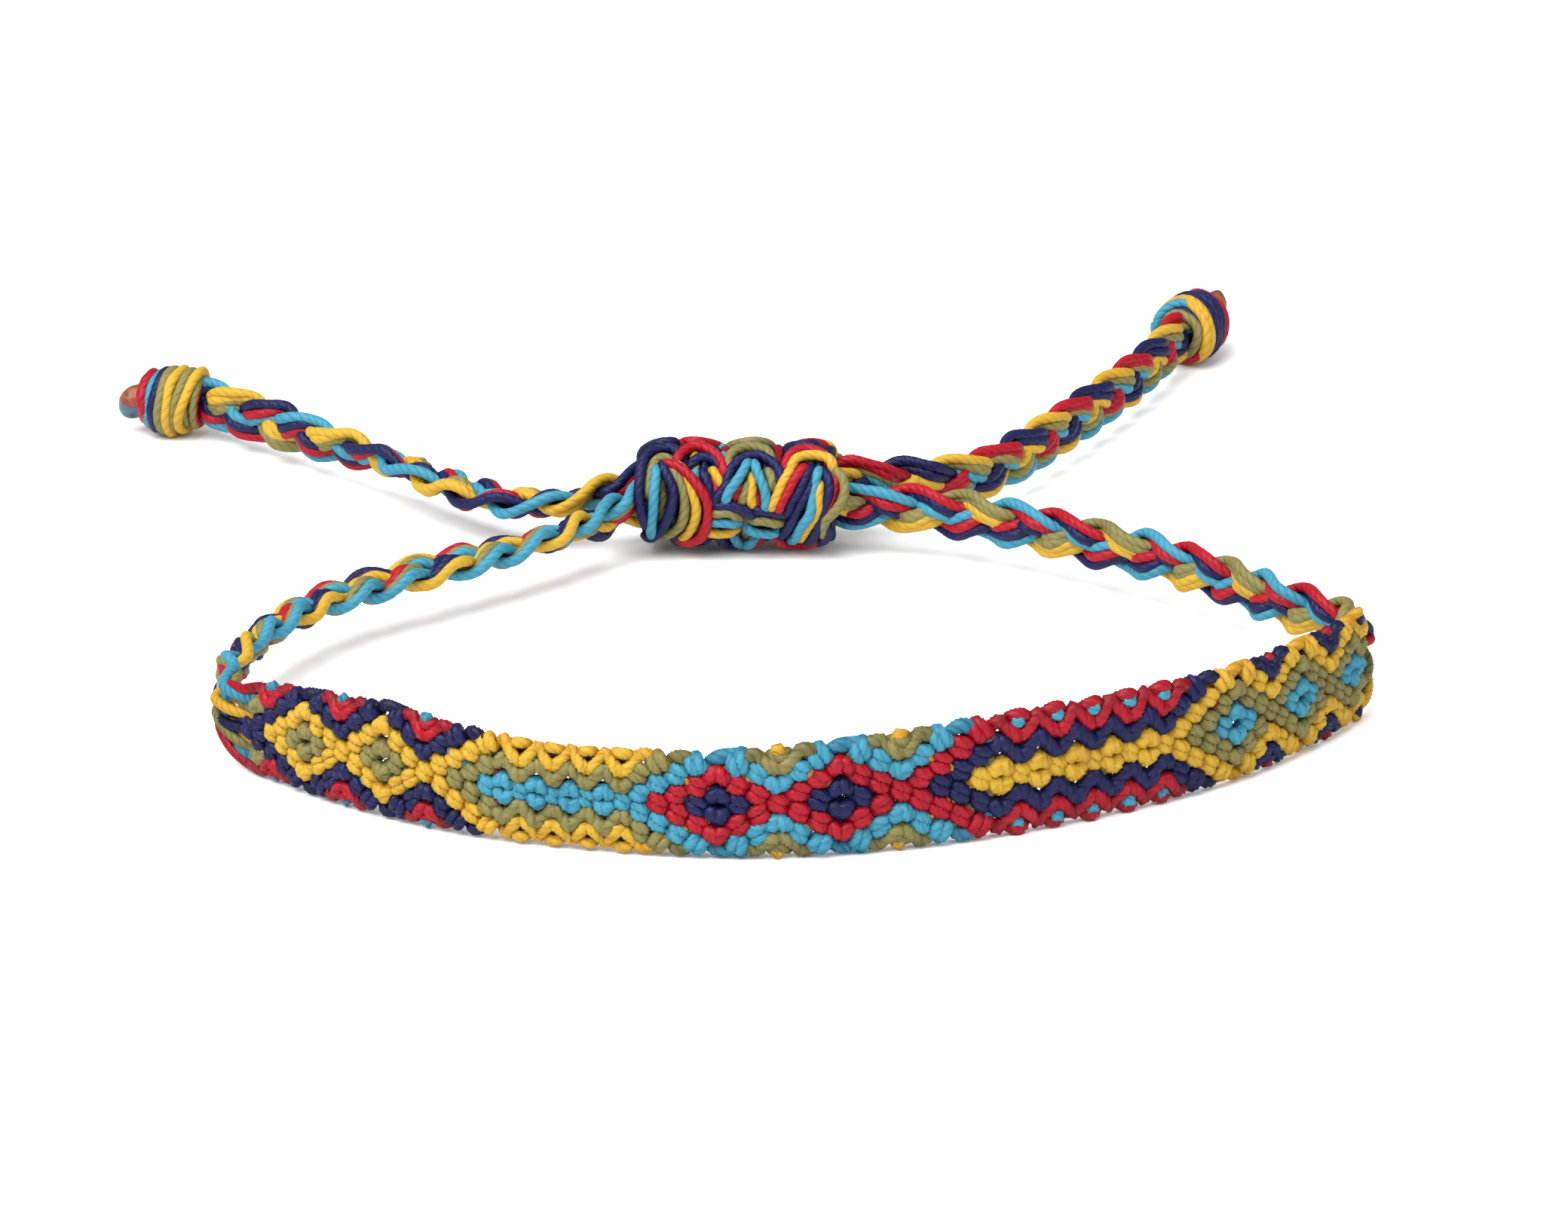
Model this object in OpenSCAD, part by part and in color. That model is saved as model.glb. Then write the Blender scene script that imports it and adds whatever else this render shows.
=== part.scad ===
// Knotted friendship bracelet: a patterned band on its edge, two plaited ties, a sliding knot and two end knots.
// Millimetres. The floor is z = 0, the band is at the front (-Y) and the two loose tails run to the back (+Y).

/* [Knotted band] */
// Height of the band from its lower edge to its upper edge, without the edge loops
band_height = 9.4; // [7:0.1:14]
// Thickness of the band through its knots
band_thickness = 2.2; // [1.6:0.1:3.4]
// Distance from one row of knots to the next along the band
row_pitch = 1.52; // [1.2:0.02:2.2]
// How far each loop of thread stands out from the band's two long edges
edge_loop = 0.5; // [0.2:0.05:0.9]
// Length over which the threads gather from the band into a tie, at each end
gather_length = 6; // [4:0.5:9]

/* [Plaited ties] */
// Diameter of one strand of the three-strand plait
strand = 1.3; // [0.9:0.05:1.8]
// Clear gap between two strands where they cross
strand_gap = 0.12; // [0.1:0.01:0.3]
// Clear gap between a tie's first threads and the band's gathered end
join_gap = 0.15; // [0.1:0.01:0.4]
// Length of plait in which a strand goes to one edge and back to the other
plait_pitch = 13.5; // [10:0.5:20]
// Height of the plait's middle above the floor where it leaves the band
tie_height = 4.6; // [4:0.1:7]

/* [Sliding knot] */
// Length of the sliding knot along the plaits it grips
knot_length = 16; // [12:0.5:24]
// Clear gap between the two plaits inside the knot, and between the plaits and the knot
grip_gap = 0.2; // [0.12:0.02:0.5]
// Thickness of the wrapped threads round the plaits
wrap_thickness = 0.9; // [0.7:0.05:1.6]
// How far the loops stand out from the knot's top and bottom
knot_loop = 0.35; // [0.1:0.05:0.8]
// Depth of the grooves between the wrapped threads
wrap_groove = 0.18; // [0.05:0.01:0.3]
// How far the knot's four lobes swell out between their waists
knot_swell = 0.3; // [0.1:0.05:0.6]

/* [End knots] */
// Length of an end knot without its tip
end_length = 5.8; // [5:0.1:9]
// Diameter of an end knot
end_width = 6.3; // [6:0.1:10]
// Length of the melted tip beyond an end knot
tip_length = 1.9; // [1:0.1:4]
// Diameter of the melted tip
tip_width = 2.8; // [1.5:0.1:4.5]

/* [Node] */
// Node to draw, or all of them

/* [Hidden] */

navy = [0.15, 0.17, 0.42];
red = [0.78, 0.13, 0.21];
cyan = [0.27, 0.69, 0.81];
olive = [0.60, 0.57, 0.36];
yellow = [0.94, 0.76, 0.19];

// The plait: each strand swings side to side once while it swings in and out twice.
swing_out = (strand + strand_gap) / 1.62;
swing_side = 1.75 * swing_out;
plait_thickness = 2 * swing_out + strand;
plait_width = 2 * swing_side + strand;
strand_sides = 6;
strand_step = plait_pitch / 14;

// The sliding knot: the two plaits lie flat to flat and turn round each other on their way through.
lay = plait_thickness / 2 + grip_gap / 2;
bore_radius = norm([lay + swing_out, swing_side * 0.72]) + strand / 2 + grip_gap;
knot_radius = bore_radius + wrap_thickness;
knot_lobes = 4;
knot_x = 1.5;
knot_y = 9;
knot_z = knot_radius + knot_loop;
knot_sides = 18;
knot_rows = 48;

// Middle line of the band's plan, from the left tie to the right tie: x, y
band_route = [[-38.6, -36.2], [-38.6, -39.2], [-37.2, -42.3], [-34, -45.8], [-27.5, -51.6], [-18.5, -57], [-6, -60.6],
    [6, -61.2], [18, -58.2], [29, -52.8], [39.5, -45.5], [46.6, -37.2], [49.6, -32.4], [50.5, -29.5], [50.2, -26]];

// Routes of the plaits: x, y, height, and the angle at which the flat of the plait is turned
left_tie = [[-38.6, -36.2, tie_height, -180], [-38.6, -32.8, tie_height, -165], [-37.4, -27.2, 4.5, -140],
    [-34.6, -20.4, 4.5, -115], [-30.7, -14.6, 4.4, -95], [-25.2, -9.9, 4.4, -90], [-19.5, -5.2, 4.3, -95],
    [-14.5, -0.7, 4.2, -115], [-10.2, 3.8, 4.2, -145]];
right_tail = [[13.2, 12, 4.8, 12], [17, 13.4, 4.3, 5], [21, 16.4, 3.8, 0], [24.5, 21.2, 3.7, 0], [28, 27.8, 3.7, 0],
    [32, 36, 3.6, 0], [35.5, 44, 3.4, 0], [38, 50.8, 3.3, 0]];
right_tie = [[50.2, -26, tie_height, 0], [49.9, -22.5, tie_height, 0], [48.1, -19.9, 4.6, 0], [45, -16.8, 4.5, 0],
    [41, -11.6, 4.5, 0],
    [36.3, -6.6, 4.5, 0], [31.5, -2.8, 4.4, 0], [26.6, 0.7, 4.4, 0], [21.7, 4, 4.3, 0], [17, 6.3, 4.2, -5],
    [13, 7.3, 4.2, -12]];
left_tail = [[-10, 9.2, 4.5, 150], [-14, 8.6, 4, 110], [-19, 10.3, 3.8, 90], [-24, 15.2, 3.7, 100],
    [-29, 21, 3.8, 130], [-34.5, 26.6, 3.6, 160], [-39.5, 31.9, 3.4, 180], [-42.8, 35.2, 3.3, 180]];

// The end knots: x, y of the middle, and the way the tip points
left_end = [-47.1, 37.7, 170];
right_end = [40.7, 57.9, 62];
end_sides = 16;
end_z = end_width / 2 * cos(180 / end_sides);
pocket_depth = 0.62 * end_length;

// A plait's rows inside the sliding knot, turning from one angle to another
function in_knot(way, from, to, roll_from, roll_to) = [for (i = [0:4])
    let (u = i / 4, a = from + (to - from) * u)
    [knot_x + way * (u - 0.5) * knot_length, knot_y + lay * cos(a), knot_z + lay * sin(a),
        roll_from + (roll_to - roll_from) * u]];

// A plait's last rows, in line with the end knot that closes on it
function in_end(e, roll) = [for (back = [end_length / 2, pocket_depth - end_length / 2 - 0.3])
    let (b = back == end_length / 2 ? -back : back)
    [e.x + b * cos(e.z), e.y + b * sin(e.z), end_z, roll]];

left_route = concat(left_tie, in_knot(1, -170, 20, -170, 20), right_tail, in_end(right_end, 0));
right_route = concat(right_tie, in_knot(-1, 200, 10, -20, 170), left_tail, in_end(left_end, 180));

// A smooth curve through the rows of a route, at a place counted in rows
function smooth(rows, u) = let (
    last = len(rows) - 1,
    i = min(floor(u), last - 1),
    t = u - i,
    b = rows[i],
    c = rows[i + 1],
    a = i > 0 ? rows[i - 1] : 2 * b - c,
    d = i < last - 1 ? rows[i + 2] : 2 * c - b
) b + 0.5 * t * ((c - a) + t * ((2 * a - 5 * b + 4 * c - d) + t * (3 * (b - c) + d - a)));

function place(row) = [row.x, row.y, len(row) > 2 ? row.z : 0];

// Length along a route at each eighth of a row, as pairs of length and place
function lengths(rows) = let (
    n = 8 * (len(rows) - 1),
    spots = [for (i = [0:n]) place(smooth(rows, i / 8))]
) [for (i = 0, s = 0; i <= n; s = s + (i < n ? norm(spots[i + 1] - spots[i]) : 0), i = i + 1) [s, i / 8]];

function length_of(table) = table[len(table) - 1][0];

// The same row, with its direction, its level side and its upright, at a length along a route
function frame_at(rows, table, s) = let (
    whole = length_of(table),
    row = smooth(rows, lookup(s, table)),
    ahead = place(smooth(rows, lookup(min(s + 0.3, whole), table))),
    behind = place(smooth(rows, lookup(max(s - 0.3, 0), table))),
    along = (ahead - behind) / norm(ahead - behind),
    flat = norm([along.x, along.y]),
    side = [-along.y / flat, along.x / flat, 0]
) [row, along, side, cross(along, side)];

// A solid skinned over rings of points: capped at both ends, or joined end to start
module skin(rings, joined = false) {
    n = len(rings);
    m = len(rings[0]);
    points = [for (ring = rings) each ring];
    walls = [for (i = [0:joined ? n - 1 : n - 2], j = [0:m - 1], half = [0, 1])
        let (
            a = i * m + j,
            b = i * m + (j + 1) % m,
            c = ((i + 1) % n) * m + (j + 1) % m,
            d = ((i + 1) % n) * m + j
        ) half == 0 ? [a, c, b] : [a, d, c]];
    caps = joined ? [] : [[for (j = [0:m - 1]) j], [for (j = [m - 1:-1:0]) (n - 1) * m + j]];
    polyhedron(points = points, faces = concat(walls, caps), convexity = 12);
}

// One strand of a plait
module plait_strand(rows, which) {
    table = lengths(rows);
    worked = length_of(table) - join_gap;
    count = ceil(worked / strand_step);
    skin([for (i = [0:count])
        let (
            s = join_gap + worked * i / count,
            f = frame_at(rows, table, s),
            roll = f[0][3],
            turn = 360 * s / plait_pitch + 120 * which,
            out = f[2] * cos(roll) + f[3] * sin(roll),
            across = -f[2] * sin(roll) + f[3] * cos(roll),
            middle = place(f[0]) + across * swing_side * sin(turn) + out * swing_out * sin(2 * turn)
        )
        [for (j = [0:strand_sides - 1])
            let (a = 360 * j / strand_sides)
            middle + (out * cos(a) + across * sin(a)) * strand / 2]]);
}

// Height of the band along its length: share of the band's length, share of the band's height
height_shares = [[0, 0.7], [0.05, 0.86], [0.15, 1], [0.28, 0.88], [0.42, 0.88], [0.5, 0.96], [0.62, 1.04], [0.75, 1.02],
    [0.88, 1], [1, 0.96]];

// The band: edge loops every second row of knots, and a gathered stretch at each end
module knotted_band() {
    table = lengths(band_route);
    whole = length_of(table);
    step = row_pitch / 2;
    count = round((whole - 2 * gather_length) / step / 4) * 4;
    gathers = [for (i = [0:4]) gather_length * i / 5];
    stops = concat(gathers, [for (i = [0:count]) gather_length + (whole - 2 * gather_length) * i / count],
        [for (i = [4:-1:0]) whole - gathers[i]]);
    color(cyan) skin([for (i = [0:len(stops) - 1])
        let (
            s = stops[i],
            f = frame_at(band_route, table, s),
            gather = min(1, min(s, whole - s) / gather_length),
            ease = gather * gather * (3 - 2 * gather),
            share = lookup((s - gather_length) / (whole - 2 * gather_length), height_shares),
            loop = gather < 1 ? 0 : floor(i / 2 + 0.5) % 2,
            high = plait_width + (band_height * share - plait_width) * ease,
            thick = plait_thickness + (band_thickness - plait_thickness) * ease,
            low = (tie_height - plait_width / 2) * (1 - ease) + edge_loop * (1 - loop) * ease,
            top = low + high - edge_loop * (1 - loop) * ease + edge_loop * loop * ease
        )
        [for (p = [[0.6, 0], [1, 0.12], [1, 0.88], [0.6, 1], [-0.6, 1], [-1, 0.88], [-1, 0.12], [-0.6, 0]])
            place([f[0].x, f[0].y, 0]) + f[2] * p.x * thick / 2 + [0, 0, low + p.y * (top - low)]]]);
}

// Places of the loops along the sliding knot, as shares of its length
top_loops = [0.13, 0.32, 0.55, 0.83];
bottom_loops = [0.27, 0.49, 0.79];

function bump(x, width) = exp(-pow(x / width, 2));
function loop_rise(u, places, up) = knot_loop * bump(up, 24) * max([for (p = places) bump(u - p, 0.07)]);

// The sliding knot: a sleeve of wrapped threads in four lobes, with loops at top and bottom
module sliding_knot() {
    rounded = 0.75;
    outer = [for (i = [0:knot_rows])
        let (u = i / knot_rows, end = min(1, min(u, 1 - u) * knot_length / rounded))
        [for (j = [0:knot_sides - 1])
            let (
                a = 360 * j / knot_sides,
                groove = wrap_groove * (0.5 - 0.5 * cos(360 * (u * 12 + cos(a) * sin(360 * u * knot_lobes / 2)))),
                waist = knot_swell * (1 - sqrt(abs(sin(180 * u * knot_lobes)))),
                rise = loop_rise(u, top_loops, a - 90) + loop_rise(u, bottom_loops, a - 270),
                r = knot_radius - groove - waist * 0.5 - (1 - sqrt(end * (2 - end))) * rounded * 0.5 + rise
            )
            [knot_x + (u - 0.5) * knot_length, knot_y + r * cos(a), knot_z + r * sin(a)]]];
    inner = [for (u = [1, 0.5, 0])
        [for (j = [0:knot_sides - 1])
            let (a = 360 * j / knot_sides, r = bore_radius / cos(180 / knot_sides))
            [knot_x + (u - 0.5) * knot_length, knot_y + r * cos(a), knot_z + r * sin(a)]]];
    color(navy) skin(concat(outer, inner), joined = true);
}

// Outline of an end knot: share of its length from the plait's side, share of its radius
end_outline = [[0, 0.72], [0.1, 0.88], [0.22, 0.97], [0.3, 0.93], [0.42, 1], [0.5, 0.95], [0.6, 1], [0.7, 0.93],
    [0.82, 0.92], [0.93, 0.74], [1, 0.5]];

// An end knot: wrapped threads with a pocket that the plait ends in, and a melted tip
module end_knot(e) {
    pocket = norm([plait_width, plait_thickness]) / 2 * 0.93 + grip_gap;
    radii = concat([[pocket_depth, pocket * 0.98], [0, pocket]],
        [for (row = end_outline) [row[0] * end_length, max(row[1] * end_width / 2, row[0] < 0.5 ? pocket + 0.35 : 0)]],
        [[end_length + 0.1, tip_width / 2], [end_length + tip_length * 0.7, tip_width / 2],
            [end_length + tip_length, tip_width * 0.3]]);
    translate([e.x, e.y, end_z]) rotate([0, 0, e.z]) translate([-end_length / 2, 0, 0])
        skin([for (row = radii) [for (j = [0:end_sides - 1])
            let (a = 360 * (j + 0.5) / end_sides) [row[0], row[1] * cos(a), row[1] * sin(a)]]]);
}

module left_strand_1() { color(yellow) plait_strand(left_route, 0); }
module left_strand_2() { color(navy) plait_strand(left_route, 1); }
module left_strand_3() { color(red) plait_strand(left_route, 2); }
module right_strand_1() { color(olive) plait_strand(right_route, 0); }
module right_strand_2() { color(cyan) plait_strand(right_route, 1); }
module right_strand_3() { color(red) plait_strand(right_route, 2); }
module left_end_knot() { color(yellow) end_knot(left_end); }
module right_end_knot() { color(navy) end_knot(right_end); }

knotted_band();
left_strand_1();
left_strand_2();
left_strand_3();
right_strand_1();
right_strand_2();
right_strand_3();
sliding_knot();
left_end_knot();
right_end_knot();
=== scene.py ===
"""Friendship bracelet, made thread by thread: knotted band, plaited ties, sliding knot and two end knots."""

import math

import bmesh
import bpy
import numpy as np
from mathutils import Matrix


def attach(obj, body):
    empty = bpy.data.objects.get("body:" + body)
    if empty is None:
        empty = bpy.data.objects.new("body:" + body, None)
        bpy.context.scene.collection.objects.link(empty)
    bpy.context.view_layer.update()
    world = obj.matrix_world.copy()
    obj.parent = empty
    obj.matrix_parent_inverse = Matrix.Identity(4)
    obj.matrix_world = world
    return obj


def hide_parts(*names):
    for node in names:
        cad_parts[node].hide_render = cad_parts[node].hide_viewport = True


bl_info = {
    "name": "Friendship Bracelet",
    "version": (1, 0, 0),
    "blender": (4, 5, 0),
    "location": "View3D > Sidebar > Bracelet",
    "description": "Builds a knotted friendship bracelet thread by thread on its CAD frame",
    "category": "Object",
}

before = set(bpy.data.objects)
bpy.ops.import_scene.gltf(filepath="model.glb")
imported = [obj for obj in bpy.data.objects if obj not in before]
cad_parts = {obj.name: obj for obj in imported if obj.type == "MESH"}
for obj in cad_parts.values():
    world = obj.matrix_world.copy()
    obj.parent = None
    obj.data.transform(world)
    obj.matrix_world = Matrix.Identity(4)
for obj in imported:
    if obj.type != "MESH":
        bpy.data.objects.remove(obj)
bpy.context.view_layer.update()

MM = 0.001
NAVY, RED, TURQUOISE, OLIVE, YELLOW = range(5)
COLOUR_NAMES = ("navy", "red", "turquoise", "olive", "yellow")

# All lengths below are in millimetres unless they say otherwise. The routes are those of the CAD source.
# Middle line of the band's plan, from the left tie to the right tie: x, y
BAND_ROUTE = [(-38.6, -36.2), (-38.6, -39.2), (-37.2, -42.3), (-34, -45.8), (-27.5, -51.6), (-18.5, -57),
              (-6, -60.6), (6, -61.2), (18, -58.2), (29, -52.8), (39.5, -45.5), (46.6, -37.2),
              (49.6, -32.4), (50.5, -29.5), (50.2, -26)]
TIE_HEIGHT = 4.6
# Rows of the plaits: x, y, height, and the angle at which the flat of the plait is turned
LEFT_TIE = [(-38.6, -36.2, TIE_HEIGHT, -180), (-38.6, -32.8, TIE_HEIGHT, -165), (-37.4, -27.2, 4.5, -140),
            (-34.6, -20.4, 4.5, -115), (-30.7, -14.6, 4.4, -95), (-25.2, -9.9, 4.4, -90),
            (-19.5, -5.2, 4.3, -95), (-14.5, -0.7, 4.2, -115), (-10.2, 3.8, 4.2, -145)]
RIGHT_TAIL = [(13.2, 12, 4.8, 12), (17, 13.4, 4.3, 5), (21, 16.4, 3.8, 0), (24.5, 21.2, 3.7, 0),
              (28, 27.8, 3.7, 0), (32, 36, 3.6, 0), (35.5, 44, 3.4, 0), (38, 50.8, 3.3, 0)]
RIGHT_TIE = [(50.2, -26, TIE_HEIGHT, 0), (49.9, -22.5, TIE_HEIGHT, 0), (48.1, -19.9, 4.6, 0),
             (45, -16.8, 4.5, 0), (41, -11.6, 4.5, 0), (36.3, -6.6, 4.5, 0), (31.5, -2.8, 4.4, 0),
             (26.6, 0.7, 4.4, 0), (21.7, 4, 4.3, 0), (17, 6.3, 4.2, -5), (13, 7.3, 4.2, -12)]
LEFT_TAIL = [(-10, 9.2, 4.5, 150), (-14, 8.6, 4, 110), (-19, 10.3, 3.8, 90), (-24, 15.2, 3.7, 100),
             (-29, 21, 3.8, 130), (-34.5, 26.6, 3.6, 160), (-39.5, 31.9, 3.4, 180), (-42.8, 35.2, 3.3, 180)]

# Plaits and knots, as the CAD source has them
PLAIT_PITCH = 13.5  # length in which a strand swings to both sides once
PLAIT_WIDTH = 4.37
PLAIT_DEPTH = 0.62  # how far a strand swings in and out
STRAND_WIDTH = 1.3  # from the middle of a strand's first thread to that of its last
STRAND_CROWN = 0.16  # how far the threads in the middle of a strand lie proud
JOIN_GAP = 0.15  # between the band's end and the plait's
KNOT_LENGTH = 16.0
KNOT_CENTRE = np.array([1.5, 9.0, 4.836])
PLAIT_OFFSET = 1.627  # from the sliding knot's middle line to that of each plait in it
END_LENGTH = 5.8
END_HEIGHT = 3.09  # of an end knot's middle line over the floor
POCKET_DEPTH = 0.62 * END_LENGTH  # how far a plait reaches into its end knot
TIP_LENGTH = 1.9
# Middle of each end knot, and the way it points: x, y, degrees
LEFT_END = (-47.1, 37.7, 170)
RIGHT_END = (40.7, 57.9, 62)

# Camera: how far it looks down, its distance from the point it looks at, that point, and its focal length
VIEW_TILT = math.radians(20)
CAMERA_DISTANCE = 850
CAMERA_TARGET = (5, -4.4, 0)
CAMERA_LENS = 239.05
# Lamps: name, place and size in metres, power in watts
LAMPS = (("key", (-0.3, -0.3, 0.7), 0.85, 14.5), ("fill", (0.5, -0.5, 0.5), 0.6, 2.0))


# Settings

def linear(value):
    """The linear value of an sRGB colour of 0 to 255."""
    out = []
    for v in value:
        v /= 255
        out.append(v / 12.92 if v <= 0.04045 else ((v + 0.055) / 1.055) ** 2.4)
    return (*out, 1.0)


def length(name, description, value):
    """A setting for a length, given in millimetres."""
    return bpy.props.FloatProperty(name=name, description=description, default=value * MM, min=0.05 * MM,
                                   max=5 * MM, precision=5, unit="LENGTH", subtype="DISTANCE")


def dye(name, description, value):
    """A setting for a colour, given as sRGB of 0 to 255."""
    return bpy.props.FloatVectorProperty(name=name, description=description, default=linear(value)[:3],
                                         size=3, min=0, max=1, subtype="COLOR")


class BraceletSizes(bpy.types.PropertyGroup):
    """Thickness of the bracelet's threads, and how finely they are drawn"""

    band_thread: length("Band Thread", "Thickness of the ten threads of the band", 0.9)
    tie_thread: length("Tie Thread", "Thickness of the threads in the plaited ties", 0.92)
    knot_thread: length("Sliding Knot Thread", "Thickness of the threads that wrap the sliding knot", 0.88)
    lay: length("Lay Length", "Length in which the plies of a thread turn once round it", 2.6)
    band_step: length("Band Step", "Distance between the points of a thread in the band", 0.3)
    tie_step: length("Tie Step", "Distance between the points of a thread in the ties", 0.18)
    wrap_step: length("Wrap Step", "Distance between the points of a thread in the knots", 0.2)


class BraceletColours(bpy.types.PropertyGroup):
    """Colours of the five threads: their face, and a darker one for painted shade in grooves and for uneven
    dye
    """

    navy: dye("Navy", "Face of the navy thread", (17, 20, 66))
    navy_shade_and_dye: dye("Navy Shade and Dye", "Grooves and shaded parts of the navy thread", (7, 8, 30))
    red: dye("Red", "Face of the red thread", (150, 9, 28))
    red_shade_and_dye: dye("Red Shade and Dye", "Grooves and shaded parts of the red thread", (84, 4, 16))
    turquoise: dye("Turquoise", "Face of the turquoise thread", (56, 129, 152))
    turquoise_shade_and_dye: dye("Turquoise Shade and Dye", "Grooves and shaded parts of the turquoise thread",
                          (14, 72, 98))
    olive: dye("Olive", "Face of the olive thread", (116, 109, 62))
    olive_shade_and_dye: dye("Olive Shade and Dye", "Grooves and shaded parts of the olive thread", (66, 60, 30))
    yellow: dye("Yellow", "Face of the yellow thread", (180, 144, 42))
    yellow_shade_and_dye: dye("Yellow Shade and Dye", "Grooves and shaded parts of the yellow thread", (150, 98, 12))


# Routes

def smooth(rows, u):
    """A smooth curve through the rows of a route, at places counted in rows."""
    rows = np.asarray(rows, float)
    u = np.atleast_1d(u)
    last = len(rows) - 1
    i = np.clip(np.floor(u).astype(int), 0, last - 1)
    t = (u - i)[:, None]
    b, c = rows[i], rows[i + 1]
    a = np.where((i > 0)[:, None], rows[np.maximum(i - 1, 0)], 2 * b - c)
    d = np.where((i < last - 1)[:, None], rows[np.minimum(i + 2, last)], 2 * c - b)
    return b + 0.5 * t * ((c - a) + t * ((2 * a - 5 * b + 4 * c - d) + t * (3 * (b - c) + d - a)))


def refined(rows, finer):
    """The smooth curve through the rows, with that many steps from each row to the next."""
    return smooth(rows, np.linspace(0, len(rows) - 1, finer * (len(rows) - 1) + 1))


def travelled(points):
    """Length along a line from its first point to each of its points."""
    return np.concatenate([[0], np.cumsum(np.linalg.norm(np.diff(points, axis=0), axis=1))])


class Route:
    """A route with its places given by length along it."""

    def __init__(self, rows):
        rows = np.asarray(rows, float)
        if rows.shape[1] == 2:
            rows = np.column_stack([rows, np.zeros((len(rows), 2))])
        self.rows = rows
        self.u = np.arange(8 * (len(rows) - 1) + 1) / 8
        self.s = travelled(smooth(rows, self.u)[:, :3])
        self.length = self.s[-1]

    def row(self, s):
        """Rows at lengths along the route."""
        return smooth(self.rows, np.interp(s, self.s, self.u))

    def frame(self, s):
        """Rows, directions, level sides and uprights at lengths along the route."""
        s = np.atleast_1d(s)
        rows = self.row(s)
        near = 0.3
        along = self.row(np.minimum(s + near, self.length))[:, :3] - self.row(np.maximum(s - near, 0))[:, :3]
        along /= np.linalg.norm(along, axis=1)[:, None]
        side = np.column_stack([-along[:, 1], along[:, 0], 0 * along[:, 0]])
        side /= np.linalg.norm(side, axis=1)[:, None]
        return rows, along, side, np.cross(along, side)


def rows_in_knot(way, start, end, roll_start, roll_end):
    """A plait's rows inside the sliding knot, turning from one angle to another."""
    rows = []
    for i in range(5):
        u = i / 4
        a = math.radians(start + (end - start) * u)
        x, y, z = KNOT_CENTRE
        rows.append((x + way * (u - 0.5) * KNOT_LENGTH, y + PLAIT_OFFSET * math.cos(a),
                     z + PLAIT_OFFSET * math.sin(a), roll_start + (roll_end - roll_start) * u))
    return rows


def rows_in_end(end, roll):
    """A plait's last rows, in line with the end knot that closes on it."""
    x, y, heading = end
    c, s = math.cos(math.radians(heading)), math.sin(math.radians(heading))
    clear = 0.3
    ends = (-END_LENGTH / 2, POCKET_DEPTH - END_LENGTH / 2 - clear)
    return [(x + b * c, y + b * s, END_HEIGHT, roll) for b in ends]


left_route = Route(LEFT_TIE + rows_in_knot(1, -170, 20, -170, 20) + RIGHT_TAIL + rows_in_end(RIGHT_END, 0))
right_route = Route(RIGHT_TIE + rows_in_knot(-1, 200, 10, -20, 170) + LEFT_TAIL + rows_in_end(LEFT_END, 180))
band_route = Route(BAND_ROUTE)


# Threads

class Thread:
    """A thread's middle line, its radius at each point, its colour, and how much light reaches each point."""

    def __init__(self, points, radii, tint, light=1.0):
        self.points = np.asarray(points, float)
        self.radii = np.broadcast_to(np.asarray(radii, float), (len(self.points),)).copy()
        self.light = np.broadcast_to(np.asarray(light, float), (len(self.points),)).copy()
        self.tints = np.full(len(self.points), tint, np.int32)


def even(points, radii, step):
    """The same line with its points spaced evenly, about a step apart."""
    s = travelled(points)
    n = max(2, int(round(s[-1] / step)) + 1)
    at = np.linspace(0, s[-1], n)
    return np.column_stack([np.interp(at, s, points[:, i]) for i in range(3)]), np.interp(at, s, radii)


def flow(controls, step, tint):
    """A thread drawn smoothly through rows of x, y, z, radius and light."""
    dense = refined(controls, 6)
    points, radii = even(dense[:, :3], dense[:, 3], step)
    return Thread(points, radii, tint, even(dense[:, :3], dense[:, 4], step)[1])


# How far the threads of each piece wander from an even line, the lengths of those waves, the share by which a
# thread's radius swells, and the length of that wave
BAND_WANDER, PLAIT_WANDER, KNOT_WANDER, END_WANDER = 0.11, 0.17, 0.13, 0.15
WANDER_WAVES = (3.9, 6.7, 11.3)
SWELL, SWELL_WAVE = 0.04, 4.3


def hand_tied(threads, wander, seed):
    """The same threads with the small unevenness of work done by hand."""
    dice = np.random.default_rng(seed)
    for thread in threads:
        s = travelled(thread.points)
        for axis in range(3):
            for wave in WANDER_WAVES:
                thread.points[:, axis] += wander / 3 * np.sin(2 * math.pi * (s / wave + dice.random()))
        thread.radii *= 1 + SWELL * np.sin(2 * math.pi * (s / SWELL_WAVE + dice.random()))
    return threads


def plait_thread(route, strand, place, count, s, thread):
    """Middle line of one thread of a plait's strand, at lengths along the plait.

    Each strand swings from side to side once while it swings in and out twice. Its threads lie side by side
    across its own way, and the ones in its middle lie proud of the others."""
    rows, along, side, up = route.frame(s)
    roll = np.radians(rows[:, 3])[:, None]
    turn = (2 * math.pi * s / PLAIT_PITCH + 2 * math.pi * strand / 3)[:, None]
    out = side * np.cos(roll) + up * np.sin(roll)
    across = -side * np.sin(roll) + up * np.cos(roll)
    reach = STRAND_WIDTH / 2
    offset = reach * (2 * place / (count - 1) - 1)
    swing = PLAIT_WIDTH / 2 - thread / 2 - reach
    slope = np.arctan(swing * 2 * math.pi / PLAIT_PITCH * np.cos(turn))
    lift = (PLAIT_DEPTH + STRAND_CROWN * (1 - (offset / reach) ** 2)) * np.sin(2 * turn)
    return (rows[:, :3] + across * swing * np.sin(turn) + out * lift
            + (across * np.cos(slope) - along * np.sin(slope)) * offset)


# Colours of the threads in each strand of the two plaits
LEFT_STRANDS = [(TURQUOISE, OLIVE, YELLOW), (YELLOW, NAVY, NAVY), (TURQUOISE, OLIVE, RED, RED)]
RIGHT_STRANDS = [(YELLOW, YELLOW, OLIVE, OLIVE), (NAVY, RED, TURQUOISE), (TURQUOISE, NAVY, RED)]


# The band's pattern

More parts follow.
